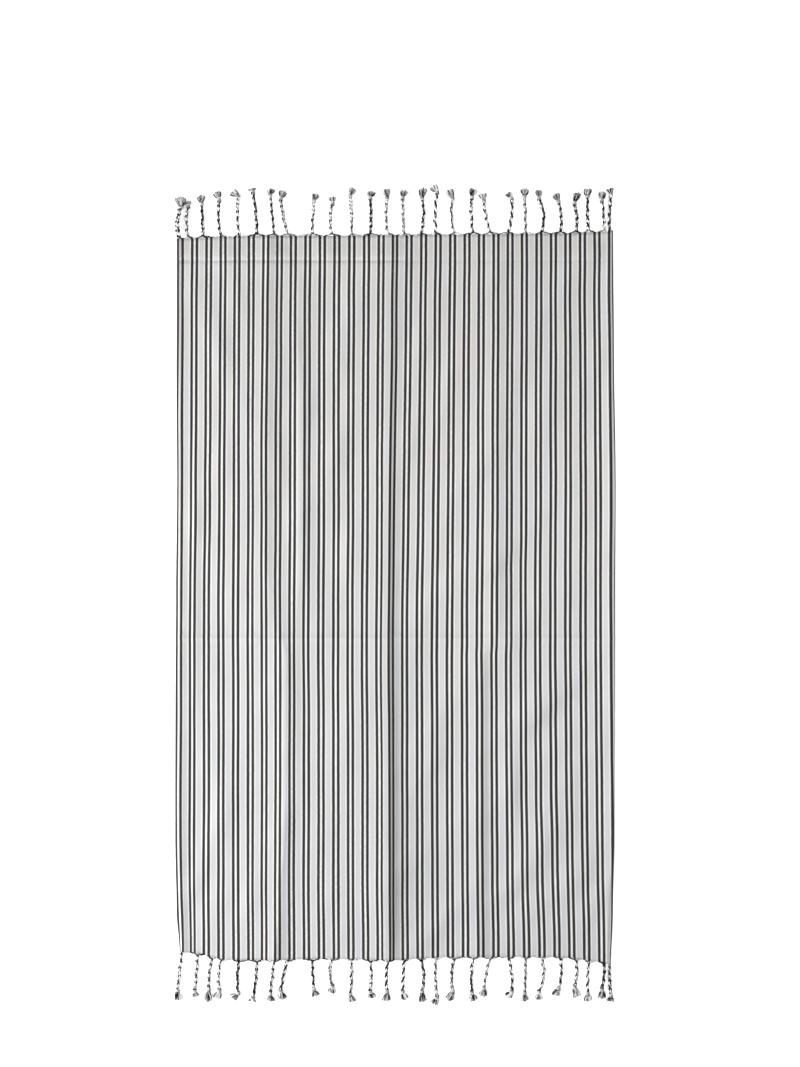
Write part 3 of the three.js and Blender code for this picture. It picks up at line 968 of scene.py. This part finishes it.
    def tuft(self, middle, ends):
        """Frays the yarns into locks of fibres, from their ends to the tip of the tassel."""
        random = self.random
        tip = (self.at + self.row["lean"] + self.row["turn"], self.side * self.row["tip"])
        way = np.array(tip) - middle[:2]
        length = math.hypot(*way)
        outward = way / length
        sideward = np.array([outward[1], -outward[0]]) * self.side
        locks = len(ends) // YARNS_PER_LOCK
        order = random.permutation(locks) / (locks - 1)
        reaches = random.uniform(*LOCK_REACHES, locks)
        for number, (end, look) in enumerate(ends):
            lock = number // YARNS_PER_LOCK
            for _ in range(FIBRES_PER_YARN):
                stray = random.uniform(-LOCK_STRAY, LOCK_STRAY)
                sideways = (2 * order[lock] - 1) * LOCK_SPREAD + stray
                shorter = TUFT_RAGGED * random.random() ** 2
                reach = length * (reaches[lock] - TUFT_ROUND * sideways**2 - shorter)
                begin = end + random.uniform(-FIBRE_STRAY, FIBRE_STRAY, 3) * (1, 1, 0.5)
                flare = self.thick * TUFT_WIDTH / 2 * sideways
                goal = middle[:2] + outward * reach + sideward * flare
                bulge = begin[:2] + outward * length * BULGE["along"]
                bulge = bulge + sideward * flare * BULGE["flare"]
                stray = random.uniform(-FIBRE_STRAY, FIBRE_STRAY)
                curl = goal - outward * length * CURL["back"] + sideward * stray
                points = (
                    begin,
                    (*bulge, begin[2] + random.uniform(*BULGE["rise"])),
                    (*curl, random.uniform(*CURL["height"])),
                    (*goal, random.uniform(*TIP_HEIGHT)),
                )
                path = bezier(points, FIBRE_STEPS)
                path[:, 2] = np.maximum(path[:, 2], FIBRE + FLOOR_GAP)
                own_look = GREY if random.random() < GREY_FIBRES else look
                self.tubes.add(path, FIBRE, FIBRE * FIBRE_FLAT, FIBRE_SIDES, own_look)

    def piece(self, name, materials):
        """The whole tassel, as one piece."""
        ends = self.cord()
        middle = self.middle(self.length)
        self.knot(middle)
        self.tuft(middle, ends)
        return self.tubes.piece(name, materials)


def warp_at_end(side):
    """Columns of the cloth's mesh at an end, and where each lies across the cut cloth."""
    columns = np.array(columns_at(side * HALF_LENGTH))
    height = fold_height(columns, end_at(columns, side))
    return columns, cut_across(columns, side * HALF_LENGTH, height)


def tassels(side, rows, node, materials):
    """All tassels of one end; each gathers the warp up to halfway to its neighbours."""
    pieces = []
    warp = warp_at_end(side)
    label = "head" if side > 0 else "foot"
    left_end = float(along(SELVEDGES, "y", side * HALF_LENGTH, "left")) + SELVEDGE_INSET
    right_end = float(along(SELVEDGES, "y", side * HALF_LENGTH, "right")) - SELVEDGE_INSET
    places = [row["at"] for row in rows]
    borders = [left_end] + [(a + b) / 2 for a, b in zip(places, places[1:])] + [right_end]
    for number, row in enumerate(rows):
        reach = (borders[number] - row["at"], borders[number + 1] - row["at"])
        name = f"tassel_{label}_{number + 1:02d}"
        # Seeds from 300 on at the head, and from 100 on at the foot
        seed = 100 * (2 + side) + number
        piece = Tassel(row, side, reach, warp, seed).piece(name, materials)
        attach(piece, "root")
        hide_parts(node)
        pieces.append(piece)
    return pieces


# Materials


class Nodes:
    """Builds a material's nodes from short calls."""

    def __init__(self, name):
        self.material = bpy.data.materials.new(name)
        self.material.use_nodes = True
        self.tree = self.material.node_tree
        self.shader = self.tree.nodes["Principled BSDF"]

    def node(self, kind, **settings):
        made = self.tree.nodes.new(kind)
        for key, value in settings.items():
            setattr(made, key, value)
        return made

    def put(self, socket, value):
        """Links another node's output to the socket, or sets a plain value on it."""
        if isinstance(value, bpy.types.NodeSocket):
            self.tree.links.new(value, socket)
        else:
            socket.default_value = value

    def math(self, operation, a, b=0.0, c=0.0):
        made = self.node("ShaderNodeMath", operation=operation)
        for socket, value in zip(made.inputs, (a, b, c)):
            self.put(socket, value)
        return made.outputs[0]

    def step(self, value, low, high):
        """0 below low and 1 above high, eased between."""
        made = self.node("ShaderNodeMapRange", interpolation_type="SMOOTHSTEP")
        for name, setting in (("Value", value), ("From Min", low), ("From Max", high)):
            self.put(made.inputs[name], setting)
        return made.outputs["Result"]

    def rest(self, share):
        """What a share leaves of 1."""
        return self.math("SUBTRACT", 1.0, share)

    def swing(self, noise, size):
        """Noise from 0 to 1 as a way of up to size to either side."""
        return self.math("MULTIPLY_ADD", noise, 2 * size, -size)

    def mix(self, share, a, b):
        made = self.node("ShaderNodeMix", data_type="RGBA")
        self.put(made.inputs["Factor"], share)
        self.put(made.inputs[6], a)
        self.put(made.inputs[7], b)
        return made.outputs[2]

    def noise(self, vector, scale, detail):
        made = self.node("ShaderNodeTexNoise")
        self.put(made.inputs["Vector"], vector)
        self.put(made.inputs["Scale"], scale)
        self.put(made.inputs["Detail"], detail)
        return made.outputs["Fac"]

    def stretched_noise(self, u, v, scales, detail):
        """Noise with one scale across and another along."""
        across = self.math("MULTIPLY", u, scales[0])
        lengthways = self.math("MULTIPLY", v, scales[1])
        return self.noise(self.joined(across, lengthways), 1.0, detail)

    def joined(self, x, y):
        made = self.node("ShaderNodeCombineXYZ")
        for socket, value in zip(made.inputs, (x, y)):
            self.put(socket, value)
        return made.outputs[0]

    def split_uv(self, name):
        uv = self.node("ShaderNodeUVMap", uv_map=name)
        parts = self.node("ShaderNodeSeparateXYZ")
        self.put(parts.inputs[0], uv.outputs[0])
        return parts.outputs[0], parts.outputs[1]

    def bump(self, height, distance, strength):
        made = self.node("ShaderNodeBump")
        self.put(made.inputs["Height"], height)
        self.put(made.inputs["Distance"], distance)
        self.put(made.inputs["Strength"], strength)
        self.put(self.shader.inputs["Normal"], made.outputs[0])

    def surface(self, values):
        """Sets the shader's own sockets."""
        for name, value in values.items():
            self.shader.inputs[name].default_value = value


def cloth_material():
    """Charcoal pairs on a ground of off-white and light grey, in a flat weave, with painted shade
    between its yarns.
    """
    m = Nodes("striped_cotton")
    u, v = [m.math("DIVIDE", part, MM) for part in m.split_uv("cut")]
    wander = m.stretched_noise(u, v, WANDER_SCALES, 1.0)
    u = m.math("ADD", u, m.swing(wander, WANDER))

    # Stripes, by the place from the middle of a pair
    turns = m.math("DIVIDE", m.math("SUBTRACT", u, FIRST_PAIR - PAIR_PITCH / 2), PAIR_PITCH)
    place = m.math("MULTIPLY", m.math("SUBTRACT", m.math("FRACT", turns), 0.5), PAIR_PITCH)
    place = m.math("ABSOLUTE", place)
    waver = m.stretched_noise(u, v, WAVER_SCALES, 2.0)
    tooth = m.math("SINE", m.math("MULTIPLY", v, 2 * math.pi / (TOOTH_YARNS * WEAVE)))
    ragged = m.math("ADD", m.math("MULTIPLY", tooth, TOOTH), m.swing(waver, WAVER))
    frayed = m.math("ADD", place, ragged)
    begun = m.step(frayed, DARK_FROM - DARK_SOFT, DARK_FROM + DARK_SOFT)
    ended = m.step(frayed, DARK_TO - DARK_SOFT, DARK_TO + DARK_SOFT)
    dark = m.math("MULTIPLY", begun, m.rest(ended))
    greyness = m.step(place, CREAM_TO - CREAM_SOFT, CREAM_TO + CREAM_SOFT)

    # Weave, where warp and weft take turns on top
    end = m.math("SINE", m.math("MULTIPLY", u, math.pi / WEAVE))
    pick = m.math("SINE", m.math("MULTIPLY", v, math.pi / WEAVE))
    warp_up = m.step(m.math("MULTIPLY", end, pick), *WARP_UP)
    round_yarn = m.math("MULTIPLY", m.math("ABSOLUTE", end), m.math("ABSOLUTE", pick))

    # Tints of the grey bands, which change slowly from one to the next and along each
    band = m.math("FLOOR", m.math("ADD", turns, 0.5))
    tint = m.noise(m.joined(band, m.math("MULTIPLY", v, TINT_ALONG)), TINT_SCALE, 1.0)
    headward = m.step(v, *HEAD_TINT)
    plain = m.mix(headward, GREY_AT_FOOT, GREY_AT_HEAD)
    warmth = m.math("MULTIPLY_ADD", headward, WARM_MORE_AT_HEAD, WARM_AT_FOOT)
    warm = m.mix(m.math("MULTIPLY", m.step(tint, *WARM_TINTS), warmth), plain, GREY_WARM)
    cool = m.math("MULTIPLY", m.step(tint, *COOL_TINTS), COOL_SHARE)
    grey = m.mix(cool, warm, GREY_COOL)

    streak = m.stretched_noise(u, v, STREAK_SCALES, 3.0)
    ground = m.mix(greyness, CREAM_COLOUR, grey)
    grey_streaks = m.math("MULTIPLY", m.step(streak, *GREY_STREAKS), STREAK_SHARE)
    streaked = m.mix(grey_streaks, ground, GREY_STREAK)
    charcoal = m.mix(m.step(streak, *DARK_STREAKS), CHARCOAL_COLOUR, CHARCOAL_STREAK)
    weft_speck = m.math("MULTIPLY", m.rest(warp_up), SPECK_SHARE)
    speckled = m.mix(weft_speck, charcoal, CREAM_COLOUR)
    striped = m.mix(dark, streaked, speckled)
    # Painted shade: the colour darkens towards black where the yarns of the weave curve down
    # between one another
    shade = m.math("MULTIPLY", m.rest(round_yarn), PAINTED_WEAVE_SHADE)
    m.put(m.shader.inputs["Base Color"], m.mix(shade, striped, BLACK))
    m.surface({"Roughness": 0.93, "Specular IOR Level": 0.2})
    m.surface({"Sheen Weight": 0.12, "Sheen Roughness": 0.5})
    puffy = m.math("ADD", m.math("MULTIPLY", round_yarn, 0.7), m.math("MULTIPLY", warp_up, 0.3))
    m.bump(puffy, WEAVE_DEPTH, strength=0.8)
    return m.material


def yarn_material(name, colour, other):
    """Twisted cotton yarn, whose plies run slantwise round it."""
    m = Nodes(name)
    run, around = m.split_uv("yarn")
    slant = m.math("ADD", m.math("DIVIDE", run, YARN_LAY * MM), around)
    ply = m.math("SINE", m.math("MULTIPLY", slant, 4 * math.pi))
    spot = m.node("ShaderNodeTexCoord").outputs["Object"]
    patch = m.noise(spot, YARN_PATCHES, 3.0)
    fuzz = m.noise(spot, YARN_FUZZ, 2.0)
    m.put(m.shader.inputs["Base Color"], m.mix(m.step(patch, *PATCH_EDGES), colour, other))
    m.surface({"Roughness": 0.95, "Specular IOR Level": 0.2, "Sheen Weight": 0.04})
    m.bump(m.math("ADD", m.math("MULTIPLY", ply, 0.5), fuzz), YARN_DEPTH, strength=0.7)
    return m.material


def floor_material():
    """A white table that is lit a little from within, so that shadows on it stay faint."""
    m = Nodes("studio_floor")
    m.surface({"Emission Color": WHITE_LIGHT, "Emission Strength": FLOOR_GLOW})
    m.surface({"Base Color": FLOOR_COLOUR, "Roughness": 1.0, "Specular IOR Level": 0.0})
    return m.material


# Studio


def floor():
    size = FLOOR_HALF
    corners = [(-size, -size, 0), (size, -size, 0), (size, size, 0), (-size, size, 0)]
    piece = new_object("studio_floor", corners, [(0, 1, 2, 3)], [floor_material()])
    piece.location.z = -FLOOR_DROP


def area_light(name, place, size, power):
    """A rectangular light that the camera doesn't see, aimed at the middle of the floor."""
    data = bpy.data.lights.new(name, "AREA")
    data.shape = "RECTANGLE"
    data.size, data.size_y = size
    data.energy = power
    light = bpy.data.objects.new(name, data)
    light.location = place
    light.visible_camera = False
    light.rotation_euler = (-Vector(place)).to_track_quat("-Z", "Y").to_euler()
    bpy.context.scene.collection.objects.link(light)


def studio():
    """The floor, the lights and an even glow from all round."""
    floor()
    for name, light in LIGHTS.items():
        area_light(name, **light)
    world = bpy.data.worlds.new("studio")
    world.use_nodes = True
    background = world.node_tree.nodes["Background"]
    background.inputs["Color"].default_value = WHITE_LIGHT
    background.inputs["Strength"].default_value = SKY_GLOW
    bpy.context.scene.world = world


def camera():
    """Straight above the middle of the photograph."""
    data = bpy.data.cameras.new("camera")
    data.lens = LENS
    data.sensor_width = SENSOR
    distance = PHOTO_LONG_SIDE * LENS / SENSOR
    data.clip_end = 3 * distance
    looking = bpy.data.objects.new("camera", data)
    looking.location = (*PHOTO_MIDDLE, distance)
    bpy.context.scene.collection.objects.link(looking)
    bpy.context.scene.camera = looking


camera()
studio()
bpy.context.scene.view_settings.view_transform = "Standard"
bpy.context.scene.view_settings.look = "None"

cloth = cloth_piece(cloth_material())
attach(cloth, "root")
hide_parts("cloth")

yarns = [yarn_material(name, *colours) for name, colours in YARN_COLOURS.items()]
fringe = tassels(1, TASSELS, "fringe_head", yarns)
fringe += tassels(-1, FOOT_TASSELS, "fringe_foot", yarns)
